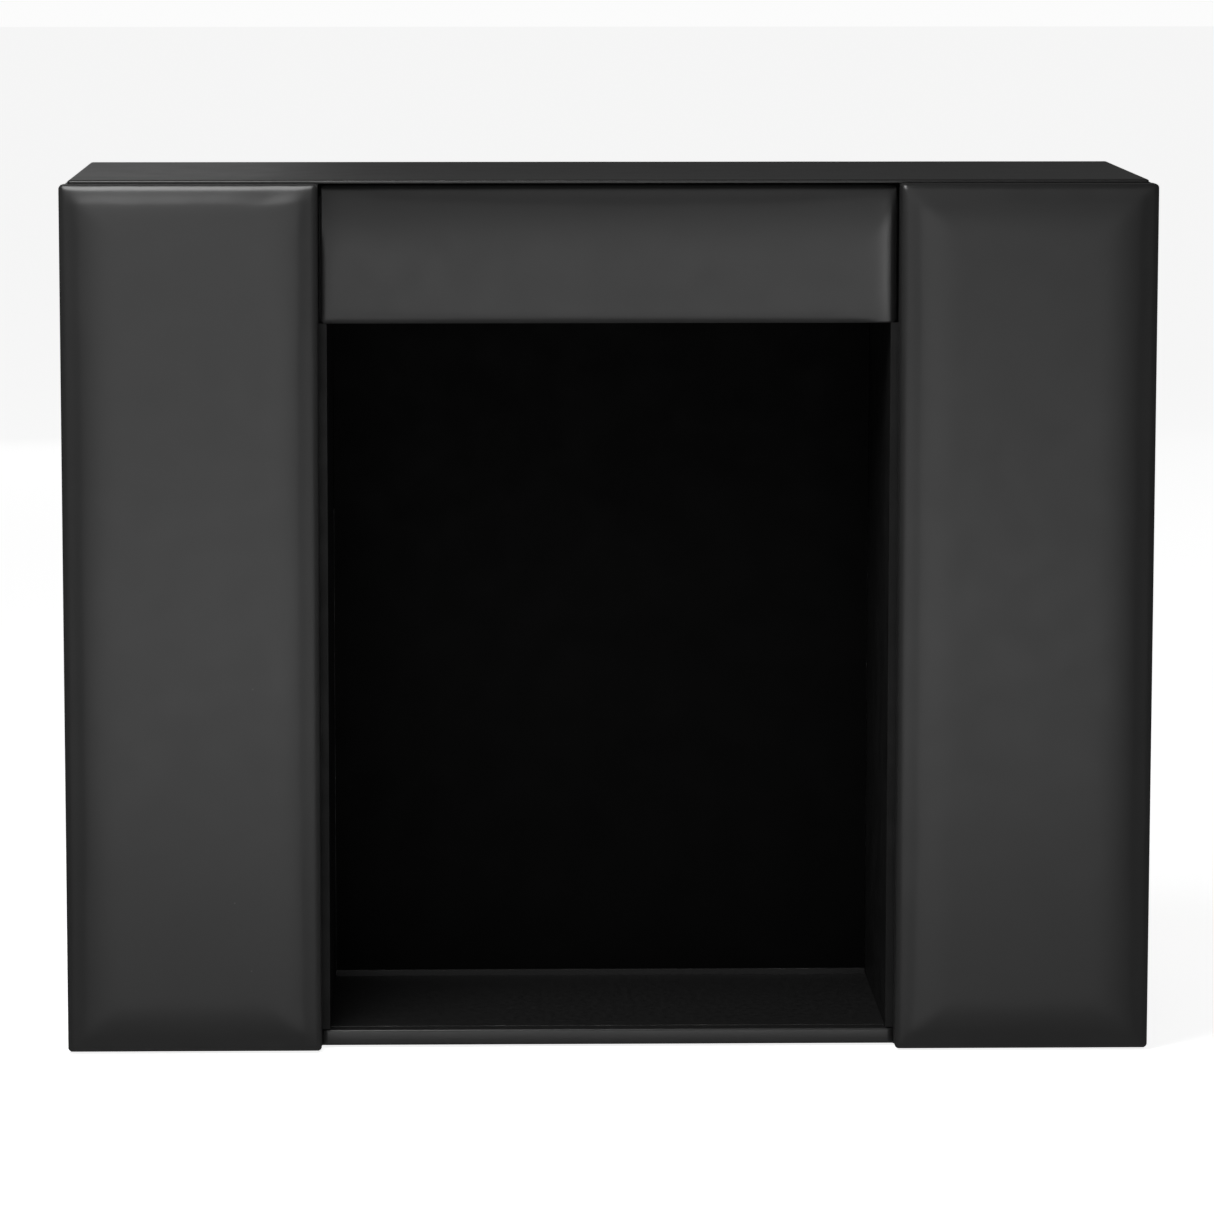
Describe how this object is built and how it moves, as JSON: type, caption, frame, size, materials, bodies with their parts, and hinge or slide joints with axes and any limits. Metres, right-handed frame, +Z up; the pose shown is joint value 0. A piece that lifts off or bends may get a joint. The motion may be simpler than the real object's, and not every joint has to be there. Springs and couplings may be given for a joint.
{
  "type": "electric fireplace",
  "caption": "Electric fireplace with a padded black leather surround, an open dark chamber, a flame screen, and a hidden fan heater with its controls in the chamber ceiling.",
  "frame": {"origin": "middle of the bounding box on the floor, under the glides", "axes": "+Z up, +X to the right as seen from the front, +Y to the back; the open chamber faces -Y"},
  "size_m": [1.22, 0.4, 0.985],
  "materials": {
    "leather": "black smooth faux leather, soft sheen",
    "mdf": "raw medium-density fibreboard",
    "foam": "open-cell upholstery foam",
    "hardboard": "brown hardboard, smooth face",
    "black_board": "board painted matt black",
    "black_steel": "satin black powder coat",
    "zinc_steel": "zinc-plated steel",
    "aluminium": "bare aluminium",
    "bronze": "sintered bronze",
    "smoked_screen": "dark smoked glass",
    "frosted_plastic": "frosted white acrylic",
    "circuit_board": "green circuit board with parts",
    "black_plastic": "black moulded plastic",
    "red_plastic": "red moulded plastic",
    "cream_plastic": "cream heat-resistant plastic",
    "cable": "black sleeved wiring"
  },
  "bodies": {
    "surround": {"top_panel": "mdf", "top_cover": "leather", "sub_top": "mdf", "left_outer_side": "mdf", "right_outer_side": "mdf", "left_inner_side": "mdf", "right_inner_side": "mdf", "left_base_board": "mdf", "right_base_board": "mdf", "left_front_board": "mdf", "right_front_board": "mdf", "left_front_foam": "foam", "right_front_foam": "foam", "left_front_cover": "leather", "right_front_cover": "leather", "left_side_pad": "leather", "right_side_pad": "leather", "left_back_panel": "hardboard", "right_back_panel": "hardboard", "bottom_board": "mdf", "rail_cover": "leather", "glides": "black_plastic", "header_board": "mdf", "header_foam": "foam", "header_cover": "leather", "heat_shield": "zinc_steel", "left_liner": "black_board", "right_liner": "black_board", "floor_liner": "black_steel", "ceiling_plate": "black_steel", "flame_screen": "smoked_screen", "screen_channel": "black_steel", "diffuser": "frosted_plastic", "led_board": "circuit_board", "spindle_motor": "zinc_steel", "spindle_brackets": "zinc_steel", "spindle_bushes": "bronze", "blower_housing": "zinc_steel", "blower_motor": "zinc_steel", "blower_bush": "bronze", "heater_element": "aluminium", "outlet_grille": "black_steel", "thermal_cutout": "cream_plastic", "control_panel": "black_steel", "switch_bodies": "black_plastic", "thermostat_body": "cream_plastic", "dimmer_body": "zinc_steel", "control_board": "circuit_board", "rear_cover": "black_steel", "power_inlet": "black_plastic", "wall_plates": "zinc_steel", "screws": "zinc_steel", "wiring_loom": "cable"},
    "power_rocker": {"power_rocker": "red_plastic"},
    "low_heat_rocker": {"low_heat_rocker": "black_plastic"},
    "high_heat_rocker": {"high_heat_rocker": "black_plastic"},
    "thermostat_knob": {"thermostat_knob": "black_plastic"},
    "dimmer_knob": {"dimmer_knob": "black_plastic"},
    "blower_impeller": {"blower_impeller": "aluminium"},
    "flame_spindle": {"flame_spindle": "aluminium"}
  },
  "joints": [
    {"name": "power_rocker_tilt", "type": "hinge", "parent": "surround", "child": "power_rocker", "pos_m": [0.162, -0.107, 0.8405], "axis": [-1, 0, 0], "range_deg": [0, 16]},
    {"name": "low_heat_rocker_tilt", "type": "hinge", "parent": "surround", "child": "low_heat_rocker", "pos_m": [0.189, -0.107, 0.8405], "axis": [-1, 0, 0], "range_deg": [0, 16]},
    {"name": "high_heat_rocker_tilt", "type": "hinge", "parent": "surround", "child": "high_heat_rocker", "pos_m": [0.216, -0.107, 0.8405], "axis": [-1, 0, 0], "range_deg": [0, 16]},
    {"name": "thermostat_knob_turn", "type": "hinge", "parent": "surround", "child": "thermostat_knob", "pos_m": [0.25, -0.107, 0.841], "axis": [0, 0, 1], "range_deg": [0, 270]},
    {"name": "dimmer_knob_turn", "type": "hinge", "parent": "surround", "child": "dimmer_knob", "pos_m": [0.288, -0.107, 0.841], "axis": [0, 0, 1], "range_deg": [0, 300]},
    {"name": "blower_spin", "type": "hinge", "parent": "surround", "child": "blower_impeller", "pos_m": [0, -0.014, 0.8945], "axis": [1, 0, 0], "continuous": true},
    {"name": "flame_spindle_spin", "type": "hinge", "parent": "surround", "child": "flame_spindle", "pos_m": [0, 0.16, 0.064], "axis": [1, 0, 0], "continuous": true}
  ]
}
